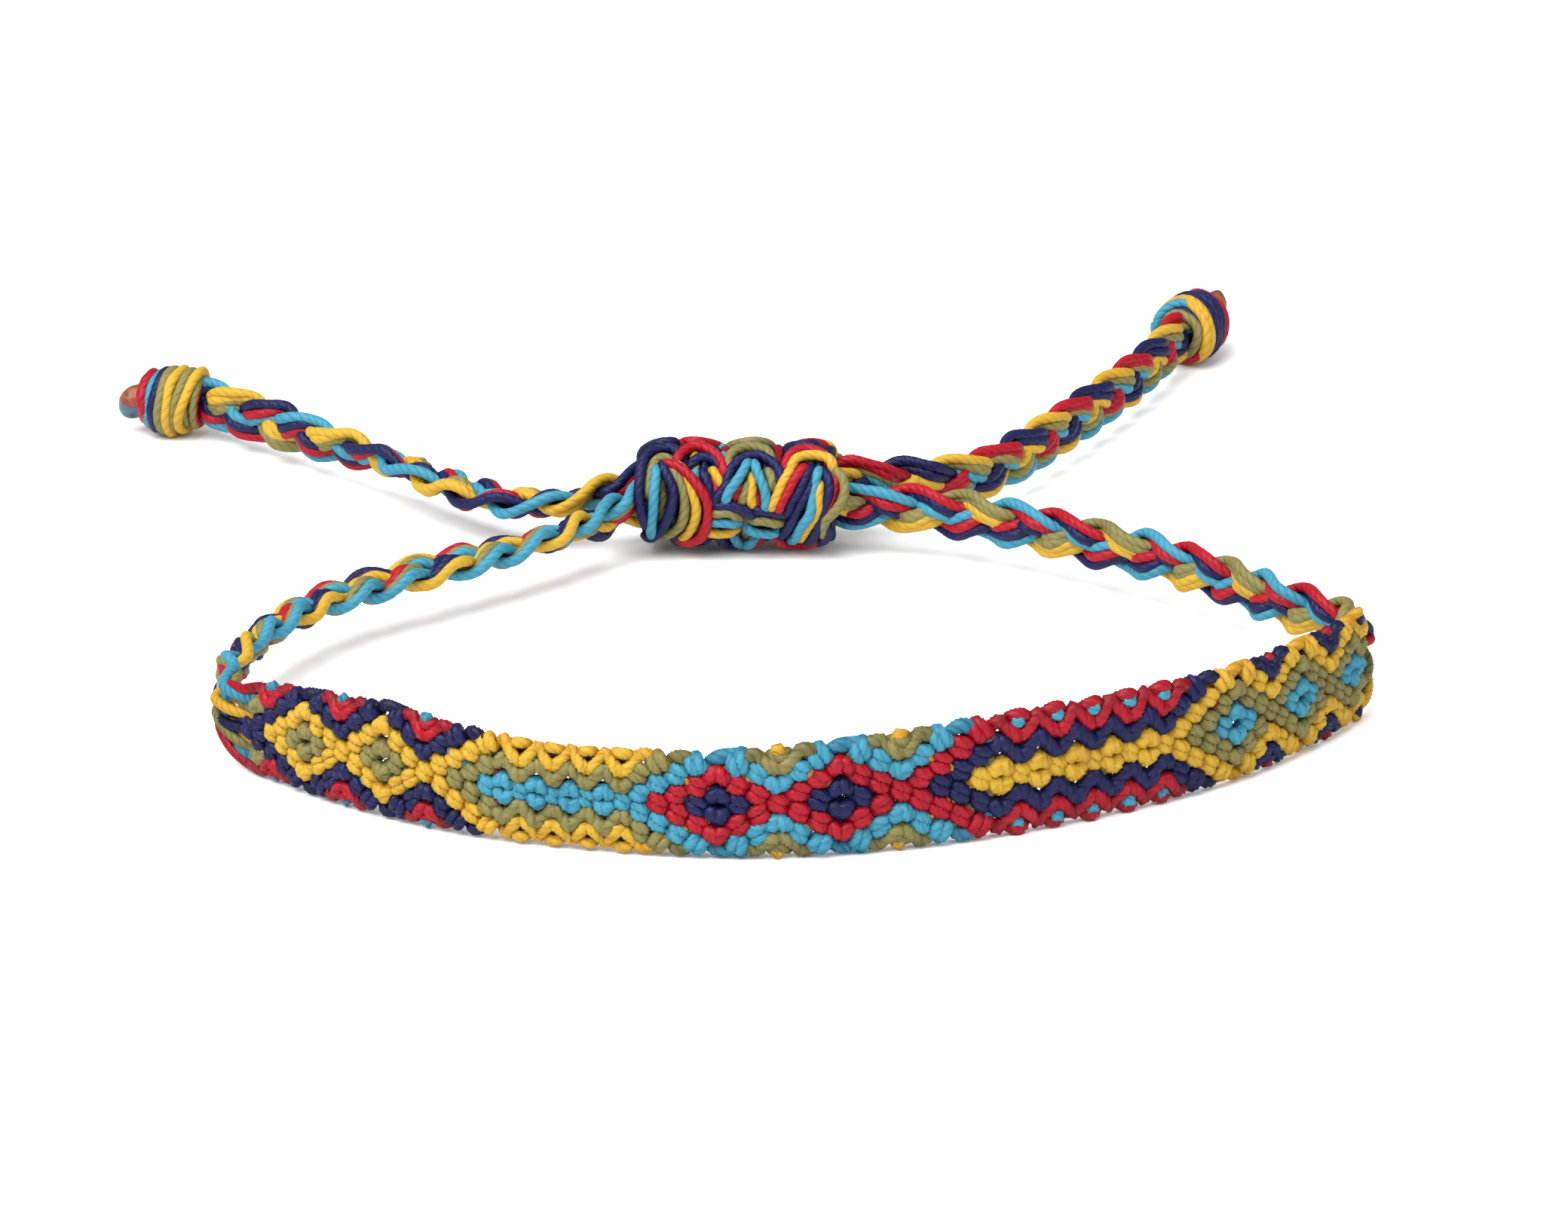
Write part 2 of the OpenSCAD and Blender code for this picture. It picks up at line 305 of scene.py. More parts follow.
def column_codes():
    """The knots of each column: two for each half, from the edge inward, and whether the middle is knotted.

    o: the inner thread of the pair is knotted over the outer one and takes its place. i: the outer one is
    knotted over the inner one. O and I: the outer or the inner thread makes the knot and both keep their
    places. U and J: as O and I, and the knot sits nearer to the middle. E and F: as O, a ring, and with E the
    other thread shows in it."""
    start = [("", True), ("Io", False), ("Oo", True)]
    diamond = [("oo", False), ("oo", True), ("II", False), ("ii", True), ("ii", False), ("OO", True)]
    spread = [("oo", False), ("oo", True)]
    plain, ringed = [("JJ", False), ("FU", True)], [("JJ", False), ("EU", True)]
    return (start + diamond * 2 + spread * 2 + plain * 4 + spread + diamond * 2 + spread * 2 + ringed * 5
            + spread + diamond * 2 + spread + ringed)


FIRST_COLUMN = -2
# Places of the pattern's columns along the band: column, length
COLUMN_PLACES = [(-4.5, 4.6), (0, 10.4), (12, 26.1), (26, 44.75), (38, 63.42), (54, 89.43), (66, 105.44),
                 (70.5, 111.0)]
# Millimetres a column before the first of these places, after the last, and where threads are not fattened
PITCH_BEFORE, PITCH_AFTER, PITCH_USUAL = 1.3, 1.235, 1.33
# Height of the band along its length: share of the knotted length, share of the full height
HEIGHT_SHARES = [(0, 0.7), (0.05, 0.86), (0.15, 1), (0.28, 0.88), (0.42, 0.88), (0.5, 0.96), (0.62, 1.04),
                 (0.75, 1.02), (0.88, 1), (1, 0.96)]
# Colours from the band's edge to its middle, before the first column
START_COLOURS = (RED, TURQUOISE, OLIVE, YELLOW, NAVY)
# Length of the gathered threads at each end of the band
GATHER = 6.0
# Height of the ten threads side by side, and of the lowest one's underside over the floor. The edge knots'
# bows reach past both edges.
BAND_HEIGHT = 9.1
UNDERSIDE = 0.46


def column_place(column):
    """Length along the band of a place counted in columns."""
    marks = np.array(COLUMN_PLACES)
    column = np.atleast_1d(column).astype(float)
    # The mean of six neighbours rounds off the changes of pitch.
    total = 0
    for shift in np.linspace(-2.5, 2.5, 6):
        c = column + shift
        at = np.interp(c, marks[:, 0], marks[:, 1])
        at += np.minimum(c - marks[0, 0], 0) * PITCH_BEFORE + np.maximum(c - marks[-1, 0], 0) * PITCH_AFTER
        total = total + at
    return total / 6


def height_share(s):
    """Share of the full height that the band has at lengths along it."""
    table = np.array(HEIGHT_SHARES)
    return np.interp((s - GATHER) / (band_route.length - 2 * GATHER), table[:, 0], table[:, 1])


def level_spacing(s, thread):
    """Distance from each of the ten threads to the next at lengths along the band."""
    return (BAND_HEIGHT * height_share(s) - thread) / 9


def band_to_space(column, level, out, thread):
    """Points of the room for places on the band: column, level 0 to 9 from below, and distance outward."""
    s = column_place(column)
    rows, _, side, _ = band_route.frame(s)
    points = rows[:, :3] - side * out[:, None]
    points[:, 2] = UNDERSIDE + thread / 2 + level * level_spacing(s, thread)
    return points


# Turns of a moving knot: half the length of a turn in columns, distance between turns, and the turns' angle
# in degrees by kind of knot and half of the band. Knots at the edge stand steeper.
BAR_HALF_LENGTH = 0.42
BAR_SPACING = 0.66
BAR_ANGLES = {("o", True): -28, ("i", True): -20, ("o", False): -20, ("i", False): 22, ("edge", True): -66,
              ("edge", False): 66}
# Rings at the edge: depth of the bow, height of the arch at its middle and at its ends
RINGS = {"E": (0.85, 0.82, 0.52), "F": (0.85, 0.62, 0.45), "O": (0.6, 0.22, 0.5)}
# Where the other thread shows in a ring: distance toward the edge and outward
RING_DOTS = {"E": (0.36, 0.45), "F": (0.1, -0.2), "O": (0.78, 0.15)}
# How far the knots marked J and U sit toward the middle, in thread levels
STAY_SHIFT = 0.3
# How far a thread with no knot bows out at the band's edge
EDGE_BULGE = 0.2


def turned_knot(angle, rising, pitch, thread):
    """A moving knot: two turns that lie side by side in front. Rows of right, up, out and radius."""
    bar = np.array([math.cos(angle), math.sin(angle)])
    next_bar = np.array([-bar[1], bar[0]]) * (1 if rising else -1) * BAR_SPACING
    rows = []
    for phase in np.arange(-0.8, 2.81, 0.3):
        p = next_bar * (phase / 2 - 0.5) + bar * BAR_HALF_LENGTH * pitch * math.sin(phase * math.pi)
        front = math.cos(phase * math.pi)
        rows.append((p[0], p[1], 0.5 * front, thread / 2 * (1.0 + 0.08 * front)))
    return rows


def both_halves(left, middle=()):
    """Rows of a whole knot from those of its left half and its middle."""
    return [*left, *middle, *((-x, y, z, r) for x, y, z, r in reversed(left))]


def bend_knot(pitch, thread):
    """A knot whose thread comes from above, bends round the lower thread and goes back up."""
    r = thread / 2
    half = [(-0.38 * pitch, 0.24, 0.38, r * 1.2), (-0.19 * pitch, -0.04, 0.58, r * 1.3),
            (-0.04 * pitch, -0.36, 0.34, r * 1.15), (-0.07 * pitch, -0.22, -0.34, r * 0.85),
            (-0.13 * pitch, 0.10, -0.56, r * 0.95)]
    return both_halves(half, [(0, 0.34, -0.1, r * 1.1)])


def ring_knot(pitch, thread, deep, top, ends):
    """A knot at the band's edge: a deep bow and, over it, an arch or a second bow, drawn by one thread."""
    r = thread / 2
    half = [(-0.78 * pitch, 0.2, 0.2, r * 1.05), (-0.52 * pitch, 0.35 - deep * 0.7, 0.42, r * 1.15),
            (-0.24 * pitch, 0.15 - deep, 0.5, r * 1.2), (0, -deep, 0.2, r * 1.1), (0, -0.5, -0.35, r * 0.9),
            (-0.25 * pitch, 0, -0.5, r), (-0.4 * pitch, ends, -0.05, r), (-0.16 * pitch, top, 0.3, r)]
    return both_halves(half)


class BandWeaver:
    """Follows the ten threads through the columns of knots."""

    def __init__(self, thread):
        self.thread = thread
        self.tints = [*START_COLOURS, *reversed(START_COLOURS)]
        self.at = list(range(10))
        self.paths = [[] for _ in range(10)]

    def pitch(self, column):
        """Millimetres from column to column at a knot."""
        return float(column_place(column + 0.5)[0] - column_place(column - 0.5)[0])

    def put(self, thread, column, level, rows, flip=1):
        """Adds rows of right, up, out and radius, round a knot's middle, to a thread's path."""
        pitch = self.pitch(column)
        spacing = float(level_spacing(column_place(column), self.thread)[0])
        fullness = min(max(pitch / PITCH_USUAL, 1), 1.2)
        for x, y, z, r in rows:
            self.paths[thread].append((column + x / pitch, level + flip * y / spacing, z, r * fullness))

    def knot(self, column, low, code, upper_half):
        """Ties one knot on the pair of threads at the levels low and low + 1."""
        inner, outer = (low, low + 1) if upper_half else (low + 1, low)
        maker, filler = (inner, outer) if code in "oIJ" else (outer, inner)
        ring = low in (0, 8) and code in "OEF"
        moves = code in "oi"
        pitch, r = self.pitch(column), self.thread / 2
        middle = low + 0.5
        if code in "JU":
            middle += -STAY_SHIFT if upper_half else STAY_SHIFT
        if moves:
            angle = math.radians(BAR_ANGLES["edge" if low in (0, 8) else code, upper_half])
            rows = turned_knot(angle, maker < filler, pitch, self.thread)
            flip = 1
        else:
            rows = ring_knot(pitch, self.thread, *RINGS[code]) if ring else bend_knot(pitch, self.thread)
            flip = 1 if maker > filler else -1
        self.put(self.at[maker], column, middle, rows, flip)
        # The other thread of the pair runs through the knot.
        other = self.at[filler]
        if moves:
            held = [(-0.44, 0.46, 0.06, 1.15), (0, 0, 0, 0.85), (0.44, -0.46, 0.06, 1.15)]
            self.at[low], self.at[low + 1] = self.at[low + 1], self.at[low]
        elif ring:
            down, out = RING_DOTS[code]
            held = [(-0.46, 0.40, 0.05, 1.15), (-0.22, 0.02, -0.15, 0.9), (-0.12, -down, out, 1),
                    (0.08, -down, out, 1), (0.2, 0.02, -0.15, 0.9), (0.46, 0.40, 0.05, 1.15)]
        else:
            held = [(-0.46, 0.40, 0.05, 1.2), (-0.16, 0.08, 0, 1), (0.16, 0.08, 0, 1),
                    (0.46, 0.40, 0.05, 1.2)]
        away = 1 if filler > maker else -1
        self.put(other, column, middle, [(x * pitch, away * y, z, r * w) for x, y, z, w in held])

    def weave(self):
        """Ties every column's knots and gives the number of the last column."""
        for number, (codes, centre) in enumerate(column_codes()):
            column = FIRST_COLUMN + number
            lows = (8, 6) if column % 2 == 0 else (7, 5)
            busy = set()
            for code, low in zip(codes, lows):
                self.knot(column, low, code, True)
                self.knot(column, 8 - low, code, False)
                busy |= {low, low + 1, 8 - low, 9 - low}
            if centre:
                self.knot(column, 4, "i", True)
                busy |= {4, 5}
            for level in range(10):
                if level not in busy:
                    bulge, out = {0: (-EDGE_BULGE, 0.08), 9: (EDGE_BULGE, 0.08)}.get(level, (0, 0))
                    self.put(self.at[level], column, level, [(0, bulge, out, self.thread / 2 * 1.15)])
        return FIRST_COLUMN + number


def band_threads(thread, tie_thread, step):
    """The ten threads of the band, gathered at both ends into the ties' threads."""
    weaver = BandWeaver(thread)
    order_left = list(weaver.at)
    last = weaver.weave()
    order_right = list(weaver.at)
    controls = []
    for path in weaver.paths:
        rows = np.array(path)
        points = band_to_space(rows[:, 0], rows[:, 1], rows[:, 2], thread)
        # Less light reaches the threads near the middle of the band's wall.
        light = np.clip((abs(rows[:, 2]) + 0.12) / 0.55, 0, 1)
        controls.append(np.column_stack([points, rows[:, 3], light]))
    for order, route, strands, at_end in ((order_left, left_route, LEFT_STRANDS, False),
                                          (order_right, right_route, RIGHT_STRANDS, True)):
        column = last + 0.5 if at_end else FIRST_COLUMN - 0.5
        targets = plait_starts(route, strands, tie_thread)
        for level, index in enumerate(order):
            tint = weaver.tints[index]
            options = [t for t in targets if t[0] == tint]
            target = min(options, key=lambda t: t[1][2]) if level < 5 else max(options, key=lambda t: t[1][2])
            targets = [t for t in targets if t is not target]
            lead = gather_rows(column, level, target[1], thread, tie_thread, at_end)
            joined = [controls[index], lead] if at_end else [lead[::-1], controls[index]]
            controls[index] = np.vstack(joined)
    return [flow(c, step, tint) for c, tint in zip(controls, weaver.tints)]


def plait_starts(route, strands, thread):
    """Colour and place of each plait thread where it leaves the band."""
    starts = []
    for k, tints in enumerate(strands):
        for place, tint in enumerate(tints):
            spot = plait_thread(route, k, place, len(tints), np.array([JOIN_GAP]), thread)[0]
            starts.append((tint, spot))
    return starts


# How far each thread bows outward between the band and the plait, from the lowest level up
GATHER_LOOPS = (0.9, 0.2, 0.8, -0.3, 0.4, -0.5, 0.5, -0.2, 0.6, 0.1)


def gather_rows(column, level, target, thread, tie_thread, at_end):
    """A thread's rows from the band's last knots to its place in the plait."""
    s_from = float(column_place(column)[0])
    s_to = band_route.length if at_end else 0.0
    t = np.linspace(0.12, 1, 7)
    rows, _, side, _ = band_route.frame(s_from + (s_to - s_from) * t)
    ease = t * t * (3 - 2 * t)
    last_row, _, last_side, _ = band_route.frame(np.array([s_to]))
    goal_out = -float(np.dot(target - last_row[0, :3], last_side[0]))
    height = UNDERSIDE + thread / 2 + level * float(level_spacing(s_from, thread))
    out = goal_out * ease + GATHER_LOOPS[level] * np.sin(t * math.pi) * (t < 1)
    points = rows[:, :3] - side * out[:, None]
    points[:, 2] = height + (target[2] - height) * ease
    radii = thread / 2 + (tie_thread - thread) / 2 * t
    # Painted shade: the gathered threads are darker near the band's last knots.
    return np.column_stack([points, radii, 0.6 + 0.3 * t])


# The sliding knot and the end knots

# Threads on the front of the sliding knot: colour, layer, and places as length from its left end and angle
# round it in degrees, 0 at the front and 90 at the top
KNOT_BARS = [
    (NAVY, 2, [(0.3, -50), (-0.3, -22), (-0.4, 10), (-0.1, 36), (0.9, 56), (2.1, 60), (2.9, 47)]),
    (OLIVE, 1, [(0.5, -7), (0.4, 13), (0.8, 33), (1.5, 43), (2.5, 40)]),
    (OLIVE, 1, [(1.5, 38), (2.5, 22), (3.2, 0), (3.3, -22), (2.6, -48), (1.2, -74)]),
    (YELLOW, 1, [(1.7, 40), (3.1, 27), (4.0, 4), (4.3, -22), (3.7, -50), (2.1, -90)]),
    (NAVY, 2, [(1.4, 38), (1.8, 20), (2.3, 0), (2.2, -22), (1.5, -45), (0.0, -74)]),
    (TURQUOISE, 3, [(0.9, 32), (0.9, 15), (0.8, -4), (0.7, -29), (0.6, -69)]),
    (RED, 3, [(1.4, 37), (2.7, 29), (3.8, 17), (4.7, 2), (5.2, -16), (5.2, -39), (4.3, -61), (2.5, -74)]),
    (NAVY, 1, [(2.2, -61), (3.1, -90), (4.3, -90), (5.7, -69)]),
    (RED, 2, [(2.5, 32), (3.1, 53), (4.4, 63), (5.8, 49), (6.5, 32), (6.5, 17)]),
    (NAVY, 1, [(3.6, 30), (4.6, 44), (5.7, 41), (6.5, 27)]),
    (TURQUOISE, 0, [(6.3, 40), (6.5, 52), (6.8, 34)]),
    (TURQUOISE, 0, [(4.2, 32), (4.3, 15)]),
    (NAVY, 1, [(4.7, 32), (5.1, 15), (5.4, -1), (5.7, -16)]),
    (RED, 0, [(5.3, 22), (5.8, 7), (5.9, -9)]),
    (YELLOW, 1, [(5.6, 30), (6.1, 18), (6.4, 7)]),
    (NAVY, 2, [(7.8, 38), (7.1, 25), (6.6, 7), (6.1, -4), (5.6, -19)]),
    (OLIVE, 2, [(6.7, 22), (7.2, 48), (8.6, 63), (9.9, 54), (10.7, 36)]),
    (NAVY, 2, [(7.3, 25), (7.9, 40), (9.1, 47), (10.2, 39), (11.1, 27), (11.3, 12)]),
    (TURQUOISE, 3, [(8.6, 38), (8.1, 23), (7.5, 10), (6.9, -1), (6.5, -16)]),
    (RED, 0, [(8.0, 12), (7.6, -1), (7.3, -16)]),
    (OLIVE, 1, [(8.6, 13), (8.3, 0), (7.9, -16)]),
    (YELLOW, 1, [(8.8, 27), (8.9, 7), (8.9, -7), (9.1, -22)]),
    (RED, 0, [(9.1, 4), (9.3, -9), (9.5, -22)]),
    (TURQUOISE, 3, [(8.9, 38), (9.4, 20), (9.8, 4), (10.0, -9), (10.0, -22)]),
    (OLIVE, 1, [(10.0, 29), (10.4, 13), (10.5, 0)]),
    (NAVY, 1, [(10.6, 34), (11.0, 20), (10.9, 4)]),
    (NAVY, 2, [(5.4, -16), (6.8, -16), (8.3, -22), (9.1, -28)]),
    (OLIVE, 2, [(5.3, -25), (6.9, -24), (8.1, -35)]),
    (TURQUOISE, 2, [(5.2, -37), (6.5, -37), (8.0, -42)]),
    (YELLOW, 2, [(4.8, -51), (6.3, -54), (7.8, -50)]),
    (NAVY, 2, [(6.0, -61), (6.8, -90), (7.9, -90), (9.0, -90)]),
    (TURQUOISE, 2, [(7.0, -63), (8.0, -90), (9.3, -69)]),
    (RED, 1, [(7.9, -90), (8.9, -90), (9.9, -81)]),
    (NAVY, 2, [(8.8, -21), (10.1, -22), (12.0, -29)]),
    (OLIVE, 2, [(8.6, -35), (10.0, -35), (11.5, -41)]),
    (TURQUOISE, 2, [(8.3, -48), (9.5, -53), (11.3, -55)]),
    (NAVY, 1, [(11.5, 32), (12.2, 56), (13.4, 65), (14.5, 54)]),
    (RED, 2, [(11.3, 22), (11.9, 43), (13.2, 56), (14.5, 49), (15.4, 32)]),
    (YELLOW, 3, [(11.8, 20), (12.6, 38), (13.9, 44), (15.2, 38), (15.7, 23)]),
    (YELLOW, 3, [(12.3, 29), (11.8, 17), (11.2, 4), (10.7, -9), (10.2, -22)]),
    (RED, 3, [(13.2, 32), (12.6, 17), (12.0, 2), (11.3, -11), (10.9, -24)]),
    (NAVY, 2, [(13.8, 32), (13.3, 15), (12.7, 0), (12.0, -14), (11.7, -29)]),
    (NAVY, 1, [(14.1, 27), (13.7, 7), (13.1, -9), (12.3, -28), (11.7, -50), (10.9, -74)]),
    (TURQUOISE, 2, [(14.4, 29), (14.1, 10), (13.9, -6), (13.6, -26), (12.7, -50), (11.7, -90)]),
    (YELLOW, 1, [(14.5, 15), (14.4, -4), (14.3, -22), (13.4, -50), (12.6, -90)]),
    (NAVY, 2, [(14.9, 29), (15.3, 10), (15.1, -9), (14.7, -28), (14.1, -50), (13.1, -90)]),
    (RED, 1, [(15.4, 29), (15.7, 12), (15.5, -4), (15.0, -29), (14.4, -55)]),
    (OLIVE, 3, [(15.5, 27), (16.3, 13), (16.3, -4), (15.7, -22), (14.9, -37), (14.8, -69)]),
    (RED, 2, [(10.7, -61), (11.7, -90), (13.2, -90), (14.8, -65)]),
    (NAVY, 2, [(14.2, -29), (15.0, -45), (14.8, -69), (13.7, -90)]),
]
# Colours of the inner wraps, from left to right
KNOT_CORE_COLOURS = (NAVY, OLIVE, NAVY, NAVY, YELLOW, NAVY, NAVY, RED, NAVY, OLIVE, NAVY, NAVY, RED, NAVY,
                     NAVY, OLIVE, NAVY, NAVY)
# Radius of each layer of threads and of the inner wraps, and how deep a thread's ends are tucked in
KNOT_LAYERS = (3.85, 4.05, 4.25, 4.42)
KNOT_CORE = 3.55
DIVE = 0.75


def on_sleeve(along, turn, radius):
    """Points of the room for places round the sliding knot."""
    a = np.radians(turn) + VIEW_TILT
    return np.column_stack([KNOT_CENTRE[0] - KNOT_LENGTH / 2 + along, KNOT_CENTRE[1] - radius * np.cos(a),
                            KNOT_CENTRE[2] + radius * np.sin(a)])


def wrap(places, radius, tint, step, thread, dive=DIVE):
    """A thread laid on the sleeve through places, with its ends tucked under its neighbours."""
    fine = refined(places, 10)
    # The first and last six points go under, and less light reaches them.
    lead = np.minimum(np.arange(len(fine)), np.arange(len(fine))[::-1]) / 6
    tuck = dive * np.clip(1 - lead, 0, 1) ** 2
    line = on_sleeve(fine[:, 0], fine[:, 1], radius - tuck)
    points, light = even(line, 1 - 0.8 * tuck / DIVE, step)
    return Thread(points, thread / 2, tint, light)


def sliding_knot_threads(thread, step):
    """Wraps of the sliding knot, front and back, and the inner wraps under them."""
    threads = []
    for behind in (False, True):
        for tint, layer, places in KNOT_BARS:
            if behind:
                places = [(along, 180 - math.degrees(VIEW_TILT) - turn) for along, turn in places]
            threads.append(wrap(places, KNOT_LAYERS[layer], tint, step, thread))
    turns = np.linspace(0, 360, 25)
    margin = 0.65
    pitch = (KNOT_LENGTH - 2 * margin) / (len(KNOT_CORE_COLOURS) - 1)
    for i, tint in enumerate(KNOT_CORE_COLOURS):
        core = wrap([(margin + i * pitch, turn) for turn in turns], KNOT_CORE, tint, step, thread * 0.95, 0.0)
        # Little light reaches the inner wraps.
        core.light *= 0.3
        threads.append(core)
    return threads


# Wraps of the end knots: colour, thickness, radius, and the length from the plait's side at which the wrap
# passes the side that faces the viewer, the top, the far side and the bottom
LEFT_WRAPS = [
    (YELLOW, 0.90, 2.58, 1.50, 0.45, 0.90, 2.00), (OLIVE, 0.86, 2.52, 2.15, 1.30, 1.50, 2.55),
    (YELLOW, 0.94, 2.64, 2.90, 2.20, 2.20, 2.90), (OLIVE, 0.92, 2.60, 3.60, 2.75, 2.90, 3.45),
    (NAVY, 0.84, 2.50, 4.15, 3.35, 3.50, 4.05), (TURQUOISE, 0.76, 2.22, 4.62, 4.00, 4.20, 4.60),
    (RED, 1.02, 2.12, 5.10, 4.75, 4.90, 4.65), (OLIVE, 0.80, 2.00, 0.60, 0.50, 0.50, 0.90),
    (RED, 0.86, 1.70, 5.30, 5.30, 5.30, 5.30),
]
RIGHT_WRAPS = [
    (OLIVE, 0.90, 1.80, 0.05, 0.40, 0.30, 0.05), (TURQUOISE, 0.92, 2.46, 1.60, 0.75, 0.25, 1.50),
    (RED, 0.84, 2.36, 1.30, 1.80, 1.50, 0.35), (YELLOW, 0.90, 2.50, 0.70, 1.60, 1.40, 0.45),
    (YELLOW, 0.92, 2.66, 1.10, 1.90, 1.60, 0.95), (NAVY, 0.94, 2.62, 1.95, 2.60, 2.40, 1.75),
    (NAVY, 0.94, 2.62, 2.75, 3.30, 3.10, 2.55), (NAVY, 0.90, 2.52, 3.50, 3.90, 3.60, 3.30),
    (RED, 0.84, 2.44, 4.25, 4.60, 4.30, 4.05), (TURQUOISE, 0.80, 2.30, 4.40, 4.00, 4.10, 4.20),
    (YELLOW, 0.86, 1.90, 4.90, 4.80, 4.80, 4.90), (NAVY, 0.80, 1.50, 5.40, 5.30, 5.30, 5.40),
]
# Inner wraps of an end knot: how many, place of the first, distance to the next, radius, radius of the one at
# the tip, and half their thickness
CORE_WRAPS, CORE_START, CORE_PITCH = 6, 0.7, 0.9
CORE_RADIUS, CORE_TIP_RADIUS, CORE_THREAD = 1.85, 1.4, 0.45
# Melted tip of an end knot, and how far it reaches in under the wraps
TIP_RADIUS = 1.4
TIP_OVERLAP = 1.2


def round_end(end, x, radius, turn):
    """Points of the room round an end knot: length from its plait side, radius, and angle from the viewer."""
    heading = math.radians(end[2])
    forward = np.array([math.cos(heading), math.sin(heading), 0])
    facing = np.array([0, -math.cos(VIEW_TILT), math.sin(VIEW_TILT)])
    facing -= forward * facing.dot(forward)
    facing /= np.linalg.norm(facing)
    upward = np.cross(facing, forward)
    upward *= np.sign(upward[2])
    start = np.array([end[0], end[1], END_HEIGHT]) - forward * END_LENGTH / 2
    a = np.radians(turn)
    return (start + np.asarray(x)[:, None] * forward + (radius * np.cos(a))[:, None] * facing
            + (radius * np.sin(a))[:, None] * upward)


def end_knot_threads(end, wraps, step):
    """Wraps of an end knot and the inner layer that they lie on."""
    threads = []
    turn = np.arange(0, 373, 6.0)
    first = 130
    a = np.radians(turn + first)
    for tint, thread, radius, front, top, back, bottom in wraps:
        place = ((front + top + back + bottom) / 4 + (front - back) / 2 * np.cos(a)
                 + (top - bottom) / 2 * np.sin(a) + (front + back - top - bottom) / 4 * np.cos(2 * a))
        tuck = radius - 0.3 * np.clip((turn - 356) / 16, 0, 1)
        points, radii = even(round_end(end, place, tuck, turn + first), np.full(len(turn), thread / 2), step)
        threads.append(Thread(points, radii, tint))
    for i in range(CORE_WRAPS):
        place = np.full(len(turn), CORE_START + CORE_PITCH * i)
        radius = np.full(len(turn), CORE_RADIUS if i < CORE_WRAPS - 1 else CORE_TIP_RADIUS)
        points, radii = even(round_end(end, place, radius, turn), np.full(len(turn), CORE_THREAD), step)
        threads.append(Thread(points, radii, wraps[-1 - i][0]))
    return threads


def put_in_scene(name, data):
    """A new object in the scene, at the origin."""
    item = bpy.data.objects.new(name, data)
    bpy.context.scene.collection.objects.link(item)
    return item


def melted_tip(name, end, lift, node):
    """The short tip where the threads' ends were melted together. Lift is how far its point is raised."""
    rings, sides = 16, 28
    start = END_LENGTH - TIP_OVERLAP
    reach = TIP_LENGTH + END_LENGTH - start
    vertices, faces = [], []
    # The tip is round with a few lumps, and closes over its outer half.
    for i in range(rings + 1):
        t = i / rings
        radius = TIP_RADIUS * (1 - max(0, (t - 0.45) / 0.55) ** 2.6) ** 0.5 + 0.05
        turn = np.arange(sides) * 360 / sides
        lumps = 0.07 * np.sin(np.radians(3 * turn + 40)) + 0.05 * np.sin(np.radians(5 * turn + 300 * t))
        lumps = 1 + lumps * (t < 0.999)
        ring = round_end(end, np.full(sides, start + reach * t), radius * lumps, turn)
        vertices += ((ring + [0, 0, lift * t * t]) * MM).tolist()
    for i in range(rings):
        for j in range(sides):
            a, b = i * sides + j, i * sides + (j + 1) % sides
            faces.append((a, b, b + sides, a + sides))
    faces.append(tuple(reversed(range(sides))))
    faces.append(tuple(rings * sides + j for j in range(sides)))
    mesh = bpy.data.meshes.new(name)
    mesh.from_pydata(vertices, [], faces)
    shape = bmesh.new()
    shape.from_mesh(mesh)
    bmesh.ops.recalc_face_normals(shape, faces=shape.faces)
    shape.to_mesh(mesh)
    shape.free()
    mesh.polygons.foreach_set("use_smooth", [True] * len(mesh.polygons))
    mesh.materials.append(melted_material())
    tip = put_in_scene(name, mesh)
    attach(tip, "root")
    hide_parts(node)
    return tip


# Node trees

def link(tree, source, target):
    """Joins two sockets of a tree."""
    tree.links.new(source, target)


def maths(tree, kind, a, b=None, clamp=False):
    """The result of a sum of one or two numbers or sockets."""
    node = tree.nodes.new("ShaderNodeMath")
    node.operation = kind
    node.use_clamp = clamp
    for socket, value in zip(node.inputs, (a, b)):
        if isinstance(value, (int, float)):
            socket.default_value = value
        elif value is not None:
            link(tree, value, socket)
    return node.outputs[0]


def noise_at(tree, place, scale, detail, distortion=0.0):
    """The value of a noise at a place."""
    node = tree.nodes.new("ShaderNodeTexNoise")
    for name, value in (("Scale", scale), ("Detail", detail), ("Distortion", distortion)):
        node.inputs[name].default_value = value
    link(tree, place, node.inputs["Vector"])
    return node.outputs[0]


def raise_relief(tree, height, strength, distance):
    """Gives a material's shader a relief from a height."""
    bump = tree.nodes.new("ShaderNodeBump")
    bump.inputs["Strength"].default_value = strength
    bump.inputs["Distance"].default_value = distance
    link(tree, height, bump.inputs["Height"])
    link(tree, bump.outputs["Normal"], tree.nodes["Principled BSDF"].inputs["Normal"])


def named_value(tree, name, kind):
    """The value of a named attribute of the geometry."""
    node = tree.nodes.new("GeometryNodeInputNamedAttribute")
    node.data_type = kind
    node.inputs["Name"].default_value = name
    return node.outputs["Attribute"]


def store_value(tree, geometry, name, kind, value):
    """The geometry with a value stored on its points under a name."""
    node = tree.nodes.new("GeometryNodeStoreNamedAttribute")
    node.data_type, node.domain = kind, "POINT"
    node.inputs["Name"].default_value = name
    link(tree, geometry, node.inputs["Geometry"])
    link(tree, value, node.inputs["Value"])
    return node.outputs["Geometry"]


